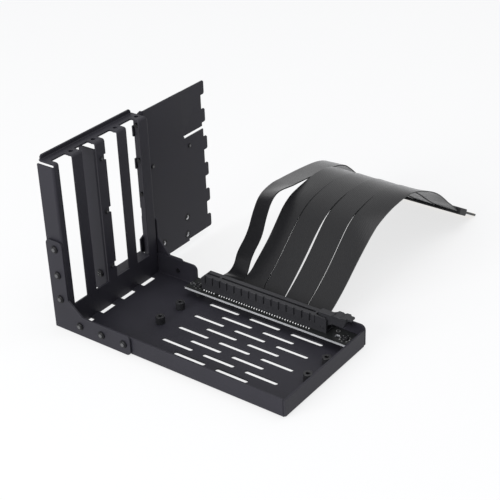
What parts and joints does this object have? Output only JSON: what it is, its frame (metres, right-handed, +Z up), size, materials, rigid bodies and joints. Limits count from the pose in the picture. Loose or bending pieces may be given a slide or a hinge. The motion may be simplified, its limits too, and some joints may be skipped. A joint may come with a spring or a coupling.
{
  "type": "vertical graphics card mount",
  "caption": "Folded black sheet bracket that holds a graphics card upright: vented tray, slotted panel, toothed case plate, riser connector and flat riser cable.",
  "frame": {"origin": "centre of the tray's flat underside", "axes": "+X from the slot panel along the tray, +Y from the front flange towards the cable, +Z up"},
  "size_m": [0.1799, 0.2796, 0.1194],
  "materials": {
    "black_coat": "satin black powder coat",
    "black_steel": "black oxide",
    "board": "black solder mask",
    "connector_plastic": "moulded black plastic",
    "tinned": "tinned contacts",
    "gold": "gold-plated contacts",
    "boot_plastic": "moulded black plastic",
    "ribbon_sleeve": "satin black cable sleeve"
  },
  "bodies": {
    "mount": {"tray": "black_coat", "slot_panel": "black_coat", "divider_wall": "black_coat", "slot_shelf": "black_coat", "case_plate": "black_coat", "front_gusset": "black_coat", "rear_gusset": "black_coat", "front_gusset_screws": "black_steel", "rear_gusset_screws": "black_steel", "wall_rivets": "black_steel", "shelf_screw": "black_steel", "plate_screws": "black_steel", "plate_rivets": "black_steel", "plate_nuts": "black_steel", "standoffs": "black_steel", "board_screws": "black_steel", "riser_board": "board", "plug_board": "board", "slot_connector": "connector_plastic", "solder_tails": "tinned", "plug_fingers": "gold", "ribbon_boot": "boot_plastic", "plug_cover": "boot_plastic", "ribbon_1": "ribbon_sleeve", "ribbon_2": "ribbon_sleeve", "ribbon_3": "ribbon_sleeve", "ribbon_4": "ribbon_sleeve", "ribbon_5": "ribbon_sleeve"},
    "latch": {"latch": "connector_plastic"}
  },
  "joints": [
    {"name": "latch_hinge", "type": "hinge", "parent": "mount", "child": "latch", "pos_m": [0.058, 0.0359, 0.0117], "axis": [0, 1, 0], "range_deg": [0, 18]}
  ]
}
